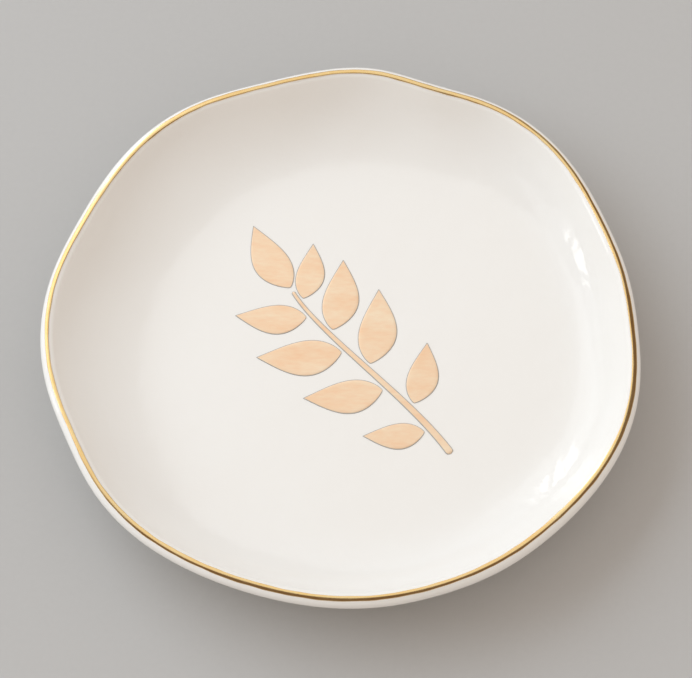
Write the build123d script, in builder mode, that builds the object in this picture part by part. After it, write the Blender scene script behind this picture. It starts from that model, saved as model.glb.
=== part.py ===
from build123d import *

import os
from math import atan2, cos, pi, radians, sin

# Ring dish: a shallow stoneware dish with a wavy rim, a glassy white glaze, a
# gold line round its lip and a gold leaf sprig on its floor.
#
# Sizes are in millimetres. The origin is on the table, under the middle of the
# rim, +Z is up, and +Y points away from someone who looks at the sprig.

# Overall size
dish_radius = 55.0  # mean radius out to the edge of the lip
dish_height = 14.0  # mean height of the lip's crown above the table

# Floor, wall and lip
well_radius = 37.0  # the floor is flat out to here, then the wall curves up
well_shift = 3.5  # the floor and the foot lie this far towards +X of the rim's middle
floor_height = 5.4  # top of the floor above the table
floor_thickness = 3.4  # it thins to lip_thickness up the wall
lip_thickness = 2.8  # the lip is a full round of this thickness
glaze_thickness = 0.3  # within the thicknesses above, on each face

# Foot ring
foot_radius = 27.5  # middle of the face that the dish rests on
foot_width = 2.8  # of that face, before its edges are rounded
foot_flare = 0.7  # how far each side leans out between the table and the underside
foot_rounding = 0.5
foot_bare_height = 0.8  # the glaze is wiped off the foot up to here
foot_root_rounding = 0.8  # where the glaze turns from the foot to the underside

# Gold, fired on over the glaze
gold_thickness = 0.12
rim_line_width = 1.0

# Sprig
stem_base_width = 1.6
stem_tip_width = 0.8
leaf_gap = 0.5  # bare glaze between the stem and a leaf
leaf_length_share = 0.43  # of well_radius
leaf_width_share = 0.20  # of well_radius
leaf_bow_share = 0.05  # how far a leaf's middle line bows, as a share of its length
leaf_taper = 0.75  # a power, under 1 for a leaf that is widest nearer its root

# How far a cutting shape runs past what it cuts
cut_overrun = 3.0

# Rim radius and rim height at equal turns from +X towards +Y, as shares of
# their means: the rim swells and dips as on a dish pressed by hand
rim_radius_shares = (
    0.985, 0.980, 0.980, 1.000, 1.020, 1.015, 0.995, 1.010, 0.995, 0.985,
    1.005, 1.010, 0.995, 0.985, 1.000, 1.010, 1.005, 0.995, 1.005, 1.005,
    0.995, 0.990, 0.995, 1.000, 1.000, 1.005, 1.005, 1.010, 1.015, 1.005,
)
rim_height_shares = (
    1.010, 1.015, 1.010, 0.990, 0.965, 0.965, 0.990, 1.010, 1.025, 1.030,
    1.005, 0.995, 1.005, 1.025, 1.015, 0.995, 1.000, 1.000, 0.985, 0.975,
    0.990, 1.010, 1.030, 1.025, 1.010, 1.005, 0.995, 0.975, 0.975, 0.995,
)

# Curve of the stem from its cut end to its tip, as shares of well_radius from the floor's middle
stem_curve_shares = ((0.44, -0.59), (0.24, -0.28), (-0.22, 0.07), (-0.35, 0.31))

# Leaves up the stem, on either side of it in turn and the last one at its tip:
# how far up they stand, how large they are, and how many degrees they lean off it
leaf_place_shares = (0.13, 0.25, 0.37, 0.48, 0.59, 0.69, 0.81, 0.90, 1.00)
leaf_size_shares = (0.72, 0.80, 0.93, 0.98, 1.00, 0.93, 0.84, 0.74, 0.94)
leaf_leans = (55.0, 54.0, 52.0, 51.0, 49.0, 51.0, 48.0, 45.0, 0.0)

# Counts of stations that the surfaces run through
wall_steps = 6
lip_steps = 6
stem_steps = 8
leaf_steps = 8

# The middle of the wall is one arc, level where it leaves the floor. Its turn
# and its radius follow from how far the wall has to reach and to rise.
lip_radius = lip_thickness / 2
rim_line_radius = dish_radius - lip_radius  # the crown of the lip
wall_reach = rim_line_radius - well_radius
wall_rise = dish_height - floor_height
wall_turn = 2 * atan2(wall_rise, wall_reach)
wall_radius = wall_reach / sin(wall_turn) - lip_radius  # of the face inside the dish
wall_centre_height = floor_height + wall_radius
underside_height = floor_height - floor_thickness
leaf_length = leaf_length_share * well_radius
leaf_width = leaf_width_share * well_radius


def wavy_points(radius, height, radius_wave, height_wave):
    """Points round the dish. A wave of 0 is level or a true circle round the floor's middle, and 1 follows the
    whole of the rim's wave round the rim's middle."""
    middle = well_shift * (1 - radius_wave)
    points = []
    for index, (radius_share, height_share) in enumerate(zip(rim_radius_shares, rim_height_shares)):
        turn = 2 * pi * index / len(rim_radius_shares)
        reach = radius + radius_wave * (radius_share - 1) * radius
        rise = height + height_wave * (height_share - 1) * dish_height
        points.append((middle + reach * cos(turn), reach * sin(turn), rise))
    return points


def wavy_ring(radius, height, wave):
    """Closed ring that waves in and out and up and down."""
    with BuildLine() as ring:
        Spline(*wavy_points(radius, height, wave, wave), periodic=True)
    return ring.wires()[0]


def wall_ring(share, depth):
    """Ring in the wall. share is 0 at the floor and 1 at the lip, and depth is measured from the face inside."""
    turn = wall_turn * share
    reach = wall_radius + depth
    wave = sin(share * pi / 2) ** 2
    return wavy_ring(well_radius + reach * sin(turn), wall_centre_height - reach * cos(turn), wave)


def lip_ring(share, rounding):
    """Ring on the lip's round. share is 0 at the face inside the dish and 1 at the face outside."""
    middle = wall_radius + lip_radius
    turn = wall_turn + pi / 2 - pi * share
    return wavy_ring(
        well_radius + middle * sin(wall_turn) + rounding * cos(turn),
        wall_centre_height - middle * cos(wall_turn) + rounding * sin(turn),
        1,
    )


def dish_form(skin):
    """Solid of floor, wall and lip, set in by skin from the glazed surface."""
    rings = []
    for step in range(wall_steps):
        rings.append(wall_ring(step / wall_steps, skin))
    for step in range(lip_steps + 1):
        rings.append(lip_ring(step / lip_steps, lip_radius - skin))
    for step in reversed(range(wall_steps)):
        share = step / wall_steps
        thickness = floor_thickness + (lip_thickness - floor_thickness) * share
        rings.append(wall_ring(share, thickness - skin))
    return Solid.make_loft(rings)


foot_plane = Plane(origin=(well_shift, 0, 0), x_dir=(1, 0, 0), z_dir=(0, -1, 0))
foot_axis = Axis((well_shift, 0, 0), (0, 0, 1))


def foot_section(skin, bottom):
    """Half section of the foot ring from the bottom up into the floor, set out by skin from the clay."""
    top = underside_height + floor_thickness / 2
    lean = foot_flare / underside_height
    half_bottom = foot_width / 2 + skin + lean * bottom
    half_top = foot_width / 2 + skin + lean * top
    with BuildSketch(foot_plane) as section:
        with BuildLine():
            Polyline(
                (foot_radius - half_bottom, bottom),
                (foot_radius + half_bottom, bottom),
                (foot_radius + half_top, top),
                (foot_radius - half_top, top),
                close=True,
            )
        make_face()
    return section.sketch


def rim_band(width, height):
    """Flat band that follows the crown of the lip, at a height."""
    with BuildSketch(Plane.XY.offset(height)) as band:
        with BuildLine():
            Spline(*wavy_points(rim_line_radius + width / 2, 0, 1, 0), periodic=True)
        make_face()
        with BuildLine():
            Spline(*wavy_points(rim_line_radius - width / 2, 0, 1, 0), periodic=True)
        make_face(mode=Mode.SUBTRACT)
    return band.sketch


def stem_width(share):
    """Width of the stem, which tapers. share is 0 at its cut end and 1 at its tip."""
    return stem_base_width + (stem_tip_width - stem_base_width) * share


def stem_side(side):
    """Points along one side of the stem."""
    points = []
    for step in range(stem_steps + 1):
        share = step / stem_steps
        across = (stem_route % share).rotate(Axis.Z, 90)
        points.append(stem_route @ share + across * side * stem_width(share) / 2)
    return points


def leaf_edge(length, half_width, bow):
    """Points along one edge of a leaf from its root to its tip. A negative half_width gives the other edge."""
    points = []
    for step in range(leaf_steps + 1):
        share = step / leaf_steps
        points.append((length * share, bow * sin(pi * share) + half_width * sin(pi * share**leaf_taper)))
    return points


# The rings aren't flat, so each form is lofted through them as wires
clay_form = dish_form(glaze_thickness)
glazed_form = dish_form(0)
gilded_form = dish_form(-gold_thickness)
clay_foot = foot_section(0, 0)
glazed_foot = foot_section(glaze_thickness, foot_bare_height)
line_band = rim_band(rim_line_width, dish_height - lip_radius)

# Fired clay: floor, wall and lip, with the foot ring turned from the same clay
with BuildPart() as clay_body:
    add(clay_form)
    add(clay_foot)
    revolve(axis=foot_axis)
    fillet(clay_body.faces().sort_by(Axis.Z)[0].edges(), radius=foot_rounding)
clay_body.part.label = "clay_body"

# Glaze: a glassy coat all over the clay but for the face that it rests on,
# where the bare foot parts it into the coat of the dish and a disc inside
with BuildPart() as glaze:
    add(glazed_form)
    add(glazed_foot)
    revolve(axis=foot_axis)
    fillet(
        glaze.edges()
        .filter_by(GeomType.CIRCLE)
        .filter_by(lambda edge: abs(edge.center().Z - underside_height) < glaze_thickness / 2),
        radius=foot_root_rounding,
    )
    add(clay_body.part, mode=Mode.SUBTRACT)

with BuildPart() as glaze_coat:
    add(glaze.solids().sort_by(SortBy.VOLUME)[-1])
glaze_coat.part.label = "glaze_coat"

with BuildPart() as base_glaze:
    add(glaze.solids().sort_by(SortBy.VOLUME)[0])
base_glaze.part.label = "base_glaze"

# Gold line, a film that follows the crown of the lip
with BuildPart() as rim_line:
    add(gilded_form)
    add(line_band)
    extrude(amount=lip_radius + cut_overrun, mode=Mode.INTERSECT)
    add(glazed_form, mode=Mode.SUBTRACT)
rim_line.part.label = "rim_line"

# Stem of the sprig, a tapering stroke of gold film on the floor
with BuildLine() as stem_line:
    Bezier(*[(well_shift + x * well_radius, y * well_radius) for x, y in stem_curve_shares])
stem_route = stem_line.edges()[0]

with BuildPart() as sprig_stem:
    with BuildSketch(Plane.XY.offset(floor_height)):
        with BuildLine():
            left = Spline(*stem_side(1))
            right = Spline(*stem_side(-1))
            Line(left @ 0, right @ 0)
            ThreePointArc(left @ 1, stem_route @ 1 + (stem_route % 1) * stem_tip_width / 2, right @ 1)
        make_face()
    extrude(amount=gold_thickness)
sprig_stem.part.label = "sprig_stem"

# Leaves, each a stroke of gold film of its own. Those at the sides start where
# their line leaves the gap beside the stem, and the last one past the stem's round tip.
leaves = []
for index, (place_share, size_share, lean) in enumerate(zip(leaf_place_shares, leaf_size_shares, leaf_leans)):
    side = 1 if index % 2 == 0 else -1
    along = (stem_route % place_share).rotate(Axis.Z, side * lean)
    stand_off = stem_width(place_share) / 2 + leaf_gap
    if lean > 0:
        stand_off = stand_off / sin(radians(lean))
    root = stem_route @ place_share + along * stand_off
    length = leaf_length * size_share
    half_width = leaf_width * size_share / 2
    bow = leaf_bow_share * length * side
    with BuildPart() as leaf:
        with BuildSketch(Plane(origin=(root.X, root.Y, floor_height), x_dir=along, z_dir=(0, 0, 1))):
            with BuildLine():
                Spline(*leaf_edge(length, half_width, bow))
                Spline(*leaf_edge(length, -half_width, bow))
            make_face()
        extrude(amount=gold_thickness)
    leaf.part.label = f"leaf_{index + 1}"
    leaves.append(leaf)

os.makedirs("parts", exist_ok=True)
for piece in (clay_body, glaze_coat, base_glaze, rim_line, sprig_stem, *leaves):
    export_step(piece.part, f"parts/{piece.part.label}.step")
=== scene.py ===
# Ring dish: the glaze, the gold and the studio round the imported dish. Sizes are in metres.
import bpy
import math
import numpy as np
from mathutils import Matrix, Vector


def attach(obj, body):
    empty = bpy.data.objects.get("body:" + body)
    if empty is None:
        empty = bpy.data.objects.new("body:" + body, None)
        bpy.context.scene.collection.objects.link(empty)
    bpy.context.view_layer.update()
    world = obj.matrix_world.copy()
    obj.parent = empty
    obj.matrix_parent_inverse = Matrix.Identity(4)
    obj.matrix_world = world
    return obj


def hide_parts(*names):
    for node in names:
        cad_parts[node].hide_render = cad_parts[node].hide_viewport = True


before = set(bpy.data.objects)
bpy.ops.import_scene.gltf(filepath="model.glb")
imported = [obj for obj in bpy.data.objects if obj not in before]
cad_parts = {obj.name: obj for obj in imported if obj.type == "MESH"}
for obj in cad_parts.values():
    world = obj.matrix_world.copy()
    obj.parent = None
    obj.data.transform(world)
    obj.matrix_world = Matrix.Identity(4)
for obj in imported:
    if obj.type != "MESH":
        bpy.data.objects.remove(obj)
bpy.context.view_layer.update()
print("frame loaded:", len(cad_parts), "nodes")

dish = {
    "radius": 0.055,  # mean, out to the edge of the lip
    "height": 0.014,  # mean, up to the crown of the lip
    "wellRadius": 0.037,  # where the flat floor ends
    "wellShift": 0.0035,  # how far the floor and the foot lie towards +X of the rim's middle
    "floorHeight": 0.0054,
    "floorThickness": 0.0034,
    "lipThickness": 0.0028,
    "glazeThickness": 0.0003,
    "easeRun": 0.003,  # over which the floor eases into the wall
    "rimRadiusShares": [  # at equal turns from +X towards +Y
        0.985, 0.980, 0.980, 1.000, 1.020, 1.015, 0.995, 1.010, 0.995, 0.985,
        1.005, 1.010, 0.995, 0.985, 1.000, 1.010, 1.005, 0.995, 1.005, 1.005,
        0.995, 0.990, 0.995, 1.000, 1.000, 1.005, 1.005, 1.010, 1.015, 1.005,
    ],
    "rimHeightShares": [
        1.010, 1.015, 1.010, 0.990, 0.965, 0.965, 0.990, 1.010, 1.025, 1.030,
        1.005, 0.995, 1.005, 1.025, 1.015, 0.995, 1.000, 1.000, 0.985, 0.975,
        0.990, 1.010, 1.030, 1.025, 1.010, 1.005, 0.995, 0.975, 0.975, 0.995,
    ],
}
foot = {
    "radius": 0.0275,  # middle of the resting face
    "width": 0.0028,
    "flare": 0.0007,  # how far each side leans out up to the underside
    "bareHeight": 0.0008,  # the glaze ends here
    "rootRounding": 0.0008,
}

# The middle of the wall is one arc, level where it leaves the floor
lipRadius = dish["lipThickness"] / 2
crownRadius = dish["radius"] - lipRadius
wallReach = crownRadius - dish["wellRadius"]
wallRise = dish["height"] - dish["floorHeight"]
wallTurn = 2 * math.atan2(wallRise, wallReach)
wallRadius = wallReach / math.sin(wallTurn) - lipRadius  # of the face inside the dish
wallCentreHeight = dish["floorHeight"] + wallRadius
lipCentre = (
    dish["wellRadius"] + (wallRadius + lipRadius) * math.sin(wallTurn),
    wallCentreHeight - (wallRadius + lipRadius) * math.cos(wallTurn),
)
undersideHeight = dish["floorHeight"] - dish["floorThickness"]


def aroundTheRim(shares, turns):
    # periodic cubic B-spline in the turn, with its controls solved so that it passes through every share
    count = len(shares)
    even = np.eye(count)
    pull = even * 2 / 3 + (np.roll(even, 1, axis=1) + np.roll(even, -1, axis=1)) / 6
    controls = np.linalg.solve(pull, np.array(shares))
    place = turns / (2 * np.pi) * count
    first = np.floor(place).astype(int)
    t = place - first
    blend = [(1 - t) ** 3, 3 * t**3 - 6 * t**2 + 4, -3 * t**3 + 3 * t**2 + 3 * t + 1, t**3]
    return sum(part * controls[(first + step - 1) % count] for step, part in enumerate(blend)) / 6


def swing(line, turns):
    # each point (radius, height, wave) of a line swings round an axis that is the floor's at wave 0 and the
    # rim's at wave 1; the rim's swell scales its radius and the rim's lift raises it, both by its wave
    radius, height, wave = (column[:, None] for column in line.T)
    swell = aroundTheRim(dish["rimRadiusShares"], turns) - 1
    lift = (aroundTheRim(dish["rimHeightShares"], turns) - 1) * dish["height"]
    reach = radius * (1 + wave * swell)
    middle = dish["wellShift"] * (1 - wave)
    return np.stack([middle + reach * np.cos(turns), reach * np.sin(turns), height + wave * lift], axis=-1)


def wallLine(shares, depths):
    # arc about the wall's centre, from the floor at share 0 to the lip at share 1; depth runs out from the
    # inside face, and the wave is the square of a quarter sine
    turn = wallTurn * shares
    reach = wallRadius + depths
    radius = dish["wellRadius"] + reach * np.sin(turn)
    height = wallCentreHeight - reach * np.cos(turn)
    return np.stack([radius, height, np.sin(shares * np.pi / 2) ** 2], axis=-1)


def eased(line):
    # lifts the corner between flat floor and round wall: the arc's start is averaged over a run on either
    # side of it, and the lift that is left fades out up the wall
    run = dish["easeRun"]
    past = line[:, 0] - dish["wellRadius"]
    near = np.clip(past, -run, run)
    lift = (near + run) ** 3 / (12 * wallRadius * run) - np.clip(near, 0, None) ** 2 / (2 * wallRadius)
    lift = lift * np.clip(1 - (past - run) / (wallReach - 2 * run), 0, 1)
    return line + np.stack([0 * lift, lift, 0 * lift], axis=-1)


def lipLine(shares, rounding):
    # half a circle about the end of the wall's middle, from the inside face at share 0 round to the outside
    # at share 1, all of it at wave 1
    turn = wallTurn + np.pi / 2 - np.pi * shares
    radius = lipCentre[0] + rounding * np.cos(turn)
    height = lipCentre[1] + rounding * np.sin(turn)
    return np.stack([radius, height, np.ones(len(turn))], axis=-1)


def flatLine(radii, height):
    # level run of points from one radius to another
    return np.stack([radii, np.full(len(radii), height), np.zeros(len(radii))], axis=-1)


def backDepths(shares, skin):
    # the body thins evenly from the floor to the lip, and the skin is taken off its outer face
    return dish["floorThickness"] + (dish["lipThickness"] - dish["floorThickness"]) * shares - skin


def footLine(side, rows):
    # from the underside round the root fillet, down the leaning side of the foot, round the glaze's edge
    # and back up between glaze and clay; side is 1 for the outer side of the foot and -1 for the inner
    lean = foot["flare"] / undersideHeight
    skin = dish["glazeThickness"]
    rounding = foot["rootRounding"]
    sideAt = lambda height, out: foot["radius"] + side * (foot["width"] / 2 + out + lean * height)
    centreHeight = undersideHeight - rounding
    centre = sideAt(centreHeight, skin) + side * rounding * math.hypot(1, lean)
    turn = np.linspace(np.pi / 2, np.pi - math.atan(lean), rows)
    root = np.stack([
        centre + side * rounding * np.cos(turn),
        centreHeight + rounding * np.sin(turn),
    ], axis=-1)
    edgeHeight = foot["bareHeight"] + skin / 2
    curl = np.linspace(0, np.pi, rows)
    edge = np.stack([
        sideAt(edgeHeight, skin / 2) + side * skin / 2 * np.cos(curl),
        edgeHeight - skin / 2 * np.sin(curl),
    ], axis=-1)
    back = np.array([[sideAt(undersideHeight + skin, 0), undersideHeight + skin]])
    line = np.concatenate([root, edge, back])
    return np.concatenate([line, np.zeros((len(line), 1))], axis=1)


def joined(grid, acrossWraps, ends):
    # quads between neighbouring rows and columns, cut in two; a row that is one point loses its flat
    # triangles
    rows, columns = grid.shape[:2]
    number = np.arange(rows * columns).reshape(rows, columns)
    for row in ends:
        number[row] = number[row, 0]
    below = number if acrossWraps else number[:-1]
    above = np.roll(number, -1, axis=0) if acrossWraps else number[1:]
    a, b = below, np.roll(below, -1, axis=1)
    d, c = above, np.roll(above, -1, axis=1)
    halves = np.stack([a, b, c], -1), np.stack([a, c, d], -1)
    corners = np.concatenate([half.reshape(-1, 3) for half in halves])
    whole = np.all(corners != np.roll(corners, 1, axis=1), axis=1)
    used, corners = np.unique(corners[whole], return_inverse=True)
    return used, corners.reshape(-1, 3)


def makePiece(name, grid, material, node, acrossWraps=False, ends=(), values=None):
    # closed skin over a grid of points whose columns run round; turned if the sum of its corner products,
    # six times its volume, says that it faces inwards
    used, corners = joined(grid, acrossWraps, ends)
    points = grid.reshape(-1, 3)[used]
    a, b, c = (points[corners[:, side]] for side in range(3))
    if np.einsum("ij,ij->", a, np.cross(b, c)) < 0:
        corners = corners[:, ::-1]
    mesh = bpy.data.meshes.new(name)
    mesh.from_pydata(points.tolist(), [], corners.tolist())
    for label, value in (values or {}).items():
        layer = mesh.attributes.new(label, "FLOAT", "POINT")
        layer.data.foreach_set("value", value.reshape(-1)[used].astype(np.float32))
    mesh.polygons.foreach_set("use_smooth", np.ones(len(corners), bool))
    mesh.materials.append(material)
    piece = bpy.data.objects.new(name, mesh)
    bpy.context.collection.objects.link(piece)
    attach(piece, "root")
    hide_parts(node)
    print("made", name, len(corners), "triangles")
    return piece


def nodeGroup(name, inputs, outputs):
    # empty shader group with named sockets
    group = bpy.data.node_groups.new(name, "ShaderNodeTree")
    for label, kind in inputs.items():
        group.interface.new_socket(label, in_out="INPUT", socket_type=kind)
    for label, kind in outputs.items():
        group.interface.new_socket(label, in_out="OUTPUT", socket_type=kind)
    return group, group.nodes.new("NodeGroupInput"), group.nodes.new("NodeGroupOutput")


mottle = {
    "broadDetail": 3,
    "fineDetail": 2,
    "spread": (0.3, 0.7),  # the part of the mixed noises that becomes 0 to 1
}


def makeMottleGroup():
    # two noises, a broad one and a fine one, mixed and spread to 0..1, for any colour that drifts over a
    # surface
    group, given, result = nodeGroup(
        "mottle",
        {"Vector": "NodeSocketVector", "Broad Scale": "NodeSocketFloat", "Fine Scale": "NodeSocketFloat",
         "Fine Part": "NodeSocketFloat"},
        {"Mottle": "NodeSocketFloat"},
    )
    broad, fine = group.nodes.new("ShaderNodeTexNoise"), group.nodes.new("ShaderNodeTexNoise")
    mix, spread = group.nodes.new("ShaderNodeMix"), group.nodes.new("ShaderNodeMapRange")
    broad.inputs["Detail"].default_value = mottle["broadDetail"]
    fine.inputs["Detail"].default_value = mottle["fineDetail"]
    spread.inputs["From Min"].default_value, spread.inputs["From Max"].default_value = mottle["spread"]
    for noise, scale in ((broad, "Broad Scale"), (fine, "Fine Scale")):
        group.links.new(given.outputs["Vector"], noise.inputs["Vector"])
        group.links.new(given.outputs[scale], noise.inputs["Scale"])
    group.links.new(given.outputs["Fine Part"], mix.inputs["Factor"])
    group.links.new(broad.outputs["Fac"], mix.inputs[2])
    group.links.new(fine.outputs["Fac"], mix.inputs[3])
    group.links.new(mix.outputs[0], spread.inputs["Value"])
    group.links.new(spread.outputs["Result"], result.inputs["Mottle"])
    return group


def newMaterial(name, **sockets):
    # Principled material with plain values set on its own sockets, and a node for Object coordinates
    material = bpy.data.materials.new(name)
    material.use_nodes = True
    nodes = material.node_tree.nodes
    shader = nodes["Principled BSDF"]
    for label, value in sockets.items():
        shader.inputs[label].default_value = value
    return material, nodes, material.node_tree.links, shader, nodes.new("ShaderNodeTexCoord")


def placeMottle(nodes, links, vector, grain):
    # the shared mottle, set for one material; a grain is a broad scale, a fine scale and the fine one's part
    node = nodes.new("ShaderNodeGroup")
    node.node_tree = mottleGroup
    for label, value in zip(("Broad Scale", "Fine Scale", "Fine Part"), grain):
        node.inputs[label].default_value = value
    links.new(vector, node.inputs["Vector"])
    return node.outputs["Mottle"]


def colourBetween(nodes, links, factor, low, high):
    # straight mix by a mask of two colours, each of them plain or the output of another node
    mix = nodes.new("ShaderNodeMix")
    mix.data_type = "RGBA"
    for socket, colour in ((mix.inputs[6], low), (mix.inputs[7], high)):
        if isinstance(colour, tuple):
            socket.default_value = (*colour, 1)
        else:
            links.new(colour, socket)
    links.new(factor, mix.inputs[0])
    return mix.outputs[2]


def valueBetween(nodes, links, factor, ends):
    # 0..1 mask spread over a range
    spread = nodes.new("ShaderNodeMapRange")
    spread.inputs["To Min"].default_value, spread.inputs["To Max"].default_value = ends
    links.new(factor, spread.inputs["Value"])
    return spread.outputs["Result"]


def softStep(nodes, links, value, ends):
    # smooth step from 0 to 1 as a value goes from one end to the other
    step = nodes.new("ShaderNodeMapRange")
    step.interpolation_type = "SMOOTHSTEP"
    step.inputs["From Min"].default_value, step.inputs["From Max"].default_value = ends
    links.new(value, step.inputs["Value"])
    return step.outputs["Result"]


def addBump(nodes, links, shader, height, distance):
    # bump from a height mask, at a real depth
    bump = nodes.new("ShaderNodeBump")
    bump.inputs["Distance"].default_value = distance
    links.new(height, bump.inputs["Height"])
    links.new(bump.outputs["Normal"], shader.inputs["Normal"])


mottleGroup = makeMottleGroup()

glazeLook = {
    "white": (0.870, 0.840, 0.792),
    "warmWhite": (0.862, 0.828, 0.776),  # where the glaze pools a little
    "driftGrain": (30.0, 300.0, 0.2),
    "roughness": 0.09,
    "refraction": 1.52,
    "peelGrain": (150.0, 700.0, 0.15),  # the orange peel in its gloss
    "peelDepth": 0.00005,
}


def makeGlaze():
    # warm white glass: a drift between two whites, and a soft orange peel in its gloss
    look = glazeLook
    material, nodes, links, shader, where = newMaterial(
        "glaze", Roughness=look["roughness"], IOR=look["refraction"])
    drift = placeMottle(nodes, links, where.outputs["Object"], look["driftGrain"])
    tone = colourBetween(nodes, links, drift, look["white"], look["warmWhite"])
    links.new(tone, shader.inputs["Base Color"])
    peel = placeMottle(nodes, links, where.outputs["Object"], look["peelGrain"])
    addBump(nodes, links, shader, peel, look["peelDepth"])
    return material


rimGoldLook = {
    "gold": (0.93, 0.61, 0.24),
    "paleGold": (0.98, 0.74, 0.38),
    "streakGrain": (120.0, 900.0, 0.35),
    "roughness": (0.10, 0.22),
}


def makeRimGold():
    # bright fired gold: streaks drift in its tone and its gloss together
    look = rimGoldLook
    material, nodes, links, shader, where = newMaterial("rimGold", Metallic=1.0)
    streaks = placeMottle(nodes, links, where.outputs["Object"], look["streakGrain"])
    tone = colourBetween(nodes, links, streaks, look["gold"], look["paleGold"])
    links.new(tone, shader.inputs["Base Color"])
    links.new(valueBetween(nodes, links, streaks, look["roughness"]), shader.inputs["Roughness"])
    return material


leafGoldLook = {
    "peach": (0.95, 0.61, 0.37),
    "straw": (1.00, 0.80, 0.57),
    "patchGrain": (190.0, 1100.0, 0.35),
    "patchDepth": 0.00001,
    "roughness": (0.28, 0.40),
    "metallic": 0.35,
    "line": (0.38, 0.36, 0.33),  # thin grey line round each stroke
    "lineWidth": 0.00016,
    "lineFade": 0.4,  # on either side of the line's edge, as a share of its width
    "brushTurn": 0.6,  # the brush went down to the right
    "brushStretch": (0.45, 1.4, 1.0),
}


def makeLeafGold():
    # satin gold film: peach and straw patches drawn out by the brush, and a thin grey line, which isn't
    # metal, where the film ends
    look = leafGoldLook
    material, nodes, links, shader, where = newMaterial("leafGold")
    brush = nodes.new("ShaderNodeMapping")
    brush.inputs["Rotation"].default_value[2] = look["brushTurn"]
    brush.inputs["Scale"].default_value = look["brushStretch"]
    links.new(where.outputs["Object"], brush.inputs["Vector"])
    patches = placeMottle(nodes, links, brush.outputs["Vector"], look["patchGrain"])
    edge = nodes.new("ShaderNodeAttribute")
    edge.attribute_name = "edgeDistance"
    fade = look["lineWidth"] * (1 - look["lineFade"]), look["lineWidth"] * (1 + look["lineFade"])
    inside = softStep(nodes, links, edge.outputs["Fac"], fade)
    film = colourBetween(nodes, links, patches, look["peach"], look["straw"])
    tone = colourBetween(nodes, links, inside, look["line"], film)
    links.new(tone, shader.inputs["Base Color"])
    links.new(valueBetween(nodes, links, inside, (0, look["metallic"])), shader.inputs["Metallic"])
    links.new(valueBetween(nodes, links, patches, look["roughness"]), shader.inputs["Roughness"])
    addBump(nodes, links, shader, patches, look["patchDepth"])
    return material


clayLook = {
    "buff": (0.58, 0.52, 0.43),
    "pale": (0.66, 0.60, 0.51),
    "speckleGrain": (150.0, 2500.0, 0.6),
    "speckleDepth": 0.00006,
    "roughness": 0.85,
}


def makeClay():
    # bare fired clay: fine speckle and a sandy tooth
    look = clayLook
    material, nodes, links, shader, where = newMaterial("clay", Roughness=look["roughness"])
    speckle = placeMottle(nodes, links, where.outputs["Object"], look["speckleGrain"])
    tone = colourBetween(nodes, links, speckle, look["buff"], look["pale"])
    links.new(tone, shader.inputs["Base Color"])
    addBump(nodes, links, shader, speckle, look["speckleDepth"])
    return material


glaze, rimGold, leafGold, clay = makeGlaze(), makeRimGold(), makeLeafGold(), makeClay()
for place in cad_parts["clay_body"].material_slots:
    place.material = clay
print("materials made")

glazeGrid = {"columns": 400, "floor": 26, "wall": 48, "lip": 30, "foot": 7, "back": 14}
swells = {  # low hollows that fingers left in the wall
    "depth": 0.00009,
    "waves": (6, 10, 17),
    "leans": (2.0, -3.5, 5.0),
}
ripples = {  # where the glaze ran
    "patches": [(0.27, 0.00005), (5.67, 0.00004)],  # the turn of each one's middle, and its depth
    "turnReach": 0.17,
    "climb": 0.62,
    "climbReach": 0.30,
    "broadWaves": 24,  # up the wall
    "broadStart": 1.0,
    "broadBend": 5,  # how far the broad waves snake along the wall, and how often
    "broadBends": 2.5,
    "fineWaves": 41,
    "fineSlant": 4,
    "finePart": 0.6,
}


def swellHeights(climb, turns):
    # sum of sines round the wall that slant as they climb, faded out towards the floor and the lip
    waves = sum(np.sin(wave * turns + lean * climb + wave) / (step + 1)
                for step, (wave, lean) in enumerate(zip(swells["waves"], swells["leans"])))
    return swells["depth"] * waves * np.sin(np.pi * climb) ** 2


def rippleHeights(climb, turns):
    # patches of slanting waves: snaking broad sines and straight fine ones, faded out round the middle of
    # their patch by a bell curve each way, and towards the floor and the lip by a sine
    above = (climb - ripples["climb"]) / ripples["climbReach"]
    total = 0
    for turn, depth in ripples["patches"]:
        aside = (turns - turn) / ripples["turnReach"]
        snake = ripples["broadBend"] * np.sin(ripples["broadBends"] * aside)
        broad = np.sin(ripples["broadWaves"] * climb + snake + ripples["broadStart"])
        fine = np.sin(ripples["fineWaves"] * climb - ripples["fineSlant"] * aside)
        total = total + depth * (broad + ripples["finePart"] * fine) * np.exp(-aside**2 - above**2)
    return total * np.sin(np.pi * climb)


def makeGlazeCoat():
    # closed shell: out over the floor, up the wall, round the lip, down outside, round the foot, and back
    # on the clay
    skin, count = dish["glazeThickness"], glazeGrid
    up = np.linspace(0, 1, count["wall"])
    coarseUp = np.linspace(0, 1, count["back"])
    line = np.concatenate([
        eased(flatLine(np.linspace(0, dish["wellRadius"], count["floor"])[:-1], dish["floorHeight"])),
        eased(wallLine(up[:-1], 0)),
        lipLine(np.linspace(0, 1, count["lip"]), lipRadius),
        wallLine(up[-2::-1], backDepths(up[-2::-1], 0)),
        footLine(1, count["foot"]),
        wallLine(coarseUp[:-1], backDepths(coarseUp[:-1], skin)),
        lipLine(np.linspace(1, 0, count["back"]), lipRadius - skin),
        wallLine(coarseUp[-2::-1], skin),
        flatLine(np.linspace(dish["wellRadius"], 0, count["back"])[1:], dish["floorHeight"] - skin),
    ])
    turns = np.linspace(0, 2 * np.pi, count["columns"], endpoint=False)
    grid = swing(line, turns)
    rows = slice(count["floor"] - 1, count["floor"] + count["wall"] - 2)
    climb = up[:-1, None]
    grid[rows, :, 2] += swellHeights(climb, turns)
    grid[rows, :, 2] += rippleHeights(climb, turns)
    makePiece("glazeCoat", grid, glaze, "glaze_coat", ends=(0, -1))


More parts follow.
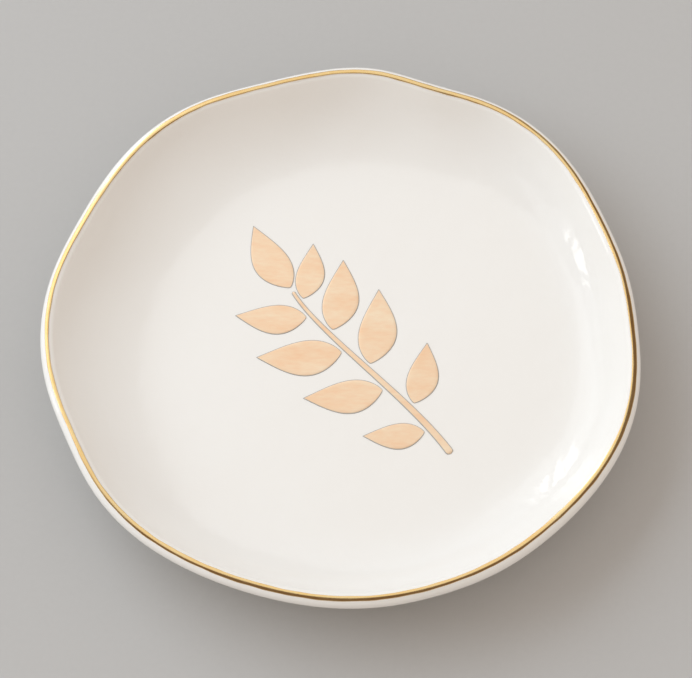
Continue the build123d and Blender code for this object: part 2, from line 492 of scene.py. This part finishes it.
def makeBaseGlaze():
    # closed disc inside the foot: out under the floor, down the foot's inner side, and back on the clay
    skin, count = dish["glazeThickness"], glazeGrid
    side = footLine(-1, count["foot"])
    line = np.concatenate([
        flatLine(np.linspace(0, side[0, 0], count["floor"])[:-1], undersideHeight),
        side,
        flatLine(np.linspace(side[-1, 0], 0, count["back"])[1:], undersideHeight + skin),
    ])
    turns = np.linspace(0, 2 * np.pi, count["columns"] // 2, endpoint=False)
    makePiece("baseGlaze", swing(line, turns), glaze, "base_glaze", ends=(0, -1))


makeGlazeCoat()
makeBaseGlaze()

goldLine = {
    "width": 0.0010,
    "thickness": 0.00012,
    "widthShares": [
        0.92, 0.93, 0.95, 1.00, 0.85, 1.00, 0.92, 0.80,
        0.68, 0.85, 1.02, 1.00, 0.95, 1.08, 1.00,
    ],
    "shifts": [  # outwards from the crown at equal turns, as the brush wandered
        0.00020, 0.00010, 0.00010, -0.00005, 0.00005, 0.00005, 0.00000, 0.00025,
        0.00005, 0.00010, 0.00010, 0.00015, 0.00005, -0.00015, 0.00010,
    ],
    "lean": 0.35,  # how much more gold lies on the inner half than on the outer, as a share of the thickness
    "leanSwing": 0.40,  # more of that on the far side of the dish, less on the near side
    "leanWaves": [(7, 2, 0.12), (16, 0, 0.08)],  # waves round the rim, their start and their share
    "wander": 0.04,  # of each edge, as a share of half the width
    "innerWaves": [(23, 0), (41, 2), (67, 4)],  # of the edges' wander: waves round the rim and their start
    "outerWaves": [(19, 1), (37, 5), (71, 0)],
    "innerPower": 16,  # the higher, the steeper the film ends
    "outerPower": 6,
    "columns": 1200,
    "rows": 22,
}


def wandering(waves, turns):
    # one and a small sum of sines round the rim
    return 1 + goldLine["wander"] * sum(np.sin(count * turns + start) for count, start in waves)


def makeRimLine():
    # band over the lip's round, closed on itself: its outer skin bulges by the film's thickness, more on
    # the inner half where the gold ran thick, and each edge wanders by a sum of sines as a brush does
    line = goldLine
    turns = np.linspace(0, 2 * np.pi, line["columns"], endpoint=False)
    crown = wallTurn / np.pi
    half = math.asin(line["width"] / 2 / lipRadius) / np.pi
    drift = aroundTheRim(line["shifts"], turns) / lipRadius / np.pi
    swell = aroundTheRim(line["widthShares"], turns)
    inner = swell * wandering(line["innerWaves"], turns)
    outer = swell * wandering(line["outerWaves"], turns)
    lean = line["lean"] + line["leanSwing"] * np.sin(turns)
    for count, start, share in line["leanWaves"]:
        lean = lean + share * np.sin(count * turns + start)
    across = np.linspace(-1, 1, line["rows"])[:, None]
    bulge = np.sqrt(1 - np.abs(across) ** np.where(across < 0, line["innerPower"], line["outerPower"]))
    top = bulge * line["thickness"] * (1 - lean * across)
    rise = np.concatenate([top, np.full((line["rows"] - 2, len(turns)), -line["thickness"])])
    across = np.concatenate([across, across[-2:0:-1]])
    share = crown + drift + half * across * np.where(across < 0, inner, outer)
    turn = wallTurn + np.pi / 2 - np.pi * share
    rounding = lipRadius + rise
    radius = lipCentre[0] + rounding * np.cos(turn)
    height = lipCentre[1] + rounding * np.sin(turn)
    reach = radius * aroundTheRim(dish["rimRadiusShares"], turns)
    lift = (aroundTheRim(dish["rimHeightShares"], turns) - 1) * dish["height"]
    grid = np.stack([reach * np.cos(turns), reach * np.sin(turns), height + lift], axis=-1)
    makePiece("rimLine", grid, rimGold, "rim_line", acrossWraps=True)


makeRimLine()

sprig = {
    "thickness": 0.00012,
    "sunkShare": 0.25,  # of the thickness, how far a stroke's foot lies in the glaze
    "sidePower": 0.8,  # gathers a stroke's points towards its edges
    "edgePower": 14,  # the higher, the steeper the film ends
    "stemBaseWidth": 0.0016,
    "stemTipWidth": 0.0008,
    "leafGap": 0.0005,
    "leafLengthShare": 0.43,  # of the well's radius, as are the stem's points from the floor's middle
    "leafWidthShare": 0.20,
    "leafBowShare": 0.05,
    "leafTaper": 0.75,
    "stemCurveShares": [(0.44, -0.59), (0.24, -0.28), (-0.22, 0.07), (-0.35, 0.31)],
    "leafPlaceShares": [0.13, 0.25, 0.37, 0.48, 0.59, 0.69, 0.81, 0.90, 1.00],
    "leafSizeShares": [0.72, 0.80, 0.93, 0.98, 1.00, 0.93, 0.84, 0.74, 0.94],
    "leafLeans": [55, 54, 52, 51, 49, 51, 48, 45, 0],
    "stemRows": 120,
    "leafRows": 60,
    "columns": 48,
}
stemControls = np.array(sprig["stemCurveShares"]) * dish["wellRadius"] + (dish["wellShift"], 0)


def stemAt(share):
    # cubic Bezier curve of the stem and its unit direction
    t = np.asarray(share, float)[..., None]
    p, q, r, s = stemControls
    place = (1 - t) ** 3 * p + 3 * (1 - t) ** 2 * t * q + 3 * (1 - t) * t**2 * r + t**3 * s
    along = (1 - t) ** 2 * (q - p) + 2 * (1 - t) * t * (r - q) + t**2 * (s - r)
    return place, along / np.linalg.norm(along, axis=-1, keepdims=True)


def stemWidth(share):
    # straight taper from base to tip
    return sprig["stemBaseWidth"] + (sprig["stemTipWidth"] - sprig["stemBaseWidth"]) * share


def makeStroke(name, node, place, across, halfWidth):
    # flat stroke of gold film: rings round its section, whose top swells up from thin edges and whose foot
    # lies in the glaze; place is its middle line and across its unit sideways direction, and the film thins
    # out where the stroke is narrower than four times its thickness
    number = np.arange(sprig["columns"])
    side = np.cos(2 * np.pi * number / sprig["columns"])
    side = np.sign(side) * np.abs(side) ** sprig["sidePower"]
    top = (number > 0) & (number < sprig["columns"] / 2)
    swell = np.where(top, np.sqrt(1 - np.abs(side) ** sprig["edgePower"]), -sprig["sunkShare"])
    flat = place[:, None, :] + across[:, None, :] * (halfWidth[:, None] * side)[..., None]
    ends = np.clip(halfWidth / sprig["thickness"] / 2, 0, 1)[:, None]
    height = dish["floorHeight"] + sprig["thickness"] * np.where(top, swell * ends, swell)
    grid = np.concatenate([flat, np.broadcast_to(height, flat.shape[:2])[..., None]], axis=-1)
    toEdge = {"edgeDistance": halfWidth[:, None] * (1 - np.abs(side))}
    makePiece(name, grid, leafGold, node, ends=(0, -1), values=toEdge)


def makeStem():
    # the stem's curve, with its two ends rounded off by half a circle each
    share = np.linspace(0, 1, sprig["stemRows"])
    place, along = stemAt(share)
    across = np.stack([-along[:, 1], along[:, 0]], axis=-1)
    gone = np.linalg.norm(np.diff(place, axis=0), axis=1).cumsum()
    gone = np.concatenate([[0], gone])
    halfWidth = stemWidth(share) / 2
    toEnd = np.minimum(gone, gone[-1] - gone) / halfWidth
    rounded = np.sqrt(1 - (1 - np.clip(toEnd, 0, 1)) ** 2)
    makeStroke("sprigStem", "sprig_stem", place, across, halfWidth * rounded)


def makeLeaf(index):
    # a leaf starts a gap off the stem and leans off it, to the left and the right by turns; its middle line
    # bows by a sine, and its half width is the sine of its length's share to a power
    placeShare, size, lean = (sprig[key][index] for key in ("leafPlaceShares", "leafSizeShares", "leafLeans"))
    side = 1 if index % 2 == 0 else -1
    root, direction = stemAt(placeShare)
    turn = side * math.radians(lean)
    ahead = np.array([
        direction[0] * math.cos(turn) - direction[1] * math.sin(turn),
        direction[0] * math.sin(turn) + direction[1] * math.cos(turn),
    ])
    aside = np.array([-ahead[1], ahead[0]])
    standOff = stemWidth(placeShare) / 2 + sprig["leafGap"]
    root = root + ahead * (standOff / math.sin(math.radians(lean)) if lean > 0 else standOff)
    length = sprig["leafLengthShare"] * dish["wellRadius"] * size
    width = sprig["leafWidthShare"] * dish["wellRadius"] * size
    share = (1 - np.cos(np.linspace(0, np.pi, sprig["leafRows"]))) / 2
    bow = sprig["leafBowShare"] * length * side * np.sin(np.pi * share)
    place = root + ahead * (length * share)[:, None] + aside * bow[:, None]
    halfWidth = width / 2 * np.sin(np.pi * share ** sprig["leafTaper"])
    across = np.broadcast_to(aside, place.shape)
    makeStroke(f"leaf{index + 1}", f"leaf_{index + 1}", place, across, halfWidth)


makeStem()
for index in range(len(sprig["leafPlaceShares"])):
    makeLeaf(index)

studioFloor = {
    "size": 4.0,
    "colour": (0.50, 0.485, 0.465),
    "darkest": 0.97,  # of that colour
    "grain": (8.0, 900.0, 0.5),
    "roughness": 0.8,
}


def makeStudioFloor():
    # one pale square under the dish
    half = studioFloor["size"] / 2
    corners = [(-half, -half, 0), (half, -half, 0), (half, half, 0), (-half, half, 0)]
    mesh = bpy.data.meshes.new("studioFloor")
    mesh.from_pydata(corners, [], [(0, 1, 2, 3)])
    floor = bpy.data.objects.new("studioFloor", mesh)
    bpy.context.collection.objects.link(floor)
    material, nodes, links, shader, where = newMaterial("studioFloor", Roughness=studioFloor["roughness"])
    mask = placeMottle(nodes, links, where.outputs["Object"], studioFloor["grain"])
    low = tuple(part * studioFloor["darkest"] for part in studioFloor["colour"])
    tone = colourBetween(nodes, links, mask, low, studioFloor["colour"])
    links.new(tone, shader.inputs["Base Color"])
    mesh.materials.append(material)


room = {
    "light": (0.775, 0.718, 0.672),  # what it sends to plain surfaces
    "seen": (0.80, 0.79, 0.78),  # what the camera sees past the floor
    "windowSide": (-0.324, 0.694, 0.643),  # gloss sees it bright here, behind the dish and to its left
    "windowEdges": (0.77, 0.83),  # from dark to bright, as the cosine of the angle to that side
    "bright": (0.90, 0.90, 0.90),
    "dark": (0.17, 0.125, 0.10),
    "horizonEdges": (0.45, 0.12),  # the dark side grows paler towards the horizon, by the sine of the height
    "horizon": (0.55, 0.52, 0.49),
}


def makeRoom():
    # world of three rooms: one for plain surfaces, one for the camera, and one for gloss, which is bright
    # within an angle round one side and dark elsewhere
    world = bpy.data.worlds.new("room")
    bpy.context.scene.world = world
    world.use_nodes = True
    nodes, links = world.node_tree.nodes, world.node_tree.links
    where = nodes.new("ShaderNodeTexCoord")
    facing = nodes.new("ShaderNodeVectorMath")
    facing.operation = "DOT_PRODUCT"
    facing.inputs[1].default_value = np.array(room["windowSide"]) / np.linalg.norm(room["windowSide"])
    links.new(where.outputs["Generated"], facing.inputs[0])
    split = nodes.new("ShaderNodeSeparateXYZ")
    links.new(where.outputs["Generated"], split.inputs["Vector"])
    low = softStep(nodes, links, split.outputs["Z"], room["horizonEdges"])
    darkSide = colourBetween(nodes, links, low, room["dark"], room["horizon"])
    inWindow = softStep(nodes, links, facing.outputs["Value"], room["windowEdges"])
    window = colourBetween(nodes, links, inWindow, darkSide, room["bright"])
    ray = nodes.new("ShaderNodeLightPath")
    forGloss = colourBetween(nodes, links, ray.outputs["Is Glossy Ray"], room["light"], window)
    forAll = colourBetween(nodes, links, ray.outputs["Is Camera Ray"], forGloss, room["seen"])
    links.new(forAll, nodes["Background"].inputs["Color"])


lamps = {  # each one's place, size and power
    "key": ((-0.79, 0.45, 0.70), (1.5, 0.85), 8.6),
    "sheen": ((-0.87, 0.50, 0.56), (1.5, 1.25), 3.0),  # round the key, for the sheen on the wall facing it
    "pane": ((-0.51, 0.86, 0.32), (0.17, 0.50), 0.8),  # narrow, for the glint
    "bar": ((-1.08, 0.11, 0.20), (0.10, 0.60), 0.65),  # narrower, for the streaks on the ripples
}
keyColour = (0.82, 1.0, 1.17)


def makeLamps():
    # the key lights plain surfaces alone, and the others only show in gloss
    for name, (place, size, power) in lamps.items():
        softbox = makeSoftbox(name, place, size, power)
        if name == "key":
            softbox.data.color = keyColour
            softbox.visible_glossy = False
        else:
            softbox.visible_diffuse = False


def makeSoftbox(name, place, size, power):
    # rectangular area lamp that faces the dish
    lamp = bpy.data.lights.new(name, "AREA")
    lamp.shape = "RECTANGLE"
    lamp.size, lamp.size_y = size
    lamp.energy = power
    softbox = bpy.data.objects.new(name, lamp)
    bpy.context.collection.objects.link(softbox)
    softbox.location = place
    softbox.rotation_euler = lookingFrom(np.array(place), np.zeros(3))
    return softbox


def lookingFrom(place, target):
    # turn that points an object's -Z from one place at another
    return Vector(target - place).to_track_quat("-Z", "Y").to_euler()


camera = {
    "elevation": 64,  # degrees above the horizon, looking along +Y
    "distance": 0.60,
    "pixelsPerMetre": 5462,  # at the distance aimed at
    "imageWidth": 692,
    "sensorWidth": 36.0,
    "clipStart": 0.01,
    "aim": (0.00054, -0.00236, 0.0135),
}


def makeCamera():
    # the lens is the picture's scale times the distance, times the sensor's width over the picture's
    view = bpy.data.cameras.new("camera")
    view.sensor_width = camera["sensorWidth"]
    view.lens = camera["pixelsPerMetre"] * camera["distance"] / camera["imageWidth"] * camera["sensorWidth"]
    view.clip_start = camera["clipStart"]
    eye = bpy.data.objects.new("camera", view)
    bpy.context.collection.objects.link(eye)
    up = math.radians(camera["elevation"])
    aim = np.array(camera["aim"])
    place = aim + camera["distance"] * np.array([0, -math.cos(up), math.sin(up)])
    eye.location = place
    eye.rotation_euler = lookingFrom(place, aim)
    bpy.context.scene.camera = eye


makeStudioFloor()
makeRoom()
makeLamps()
makeCamera()
bpy.context.scene.view_settings.view_transform = "Standard"
print("studio and camera made")
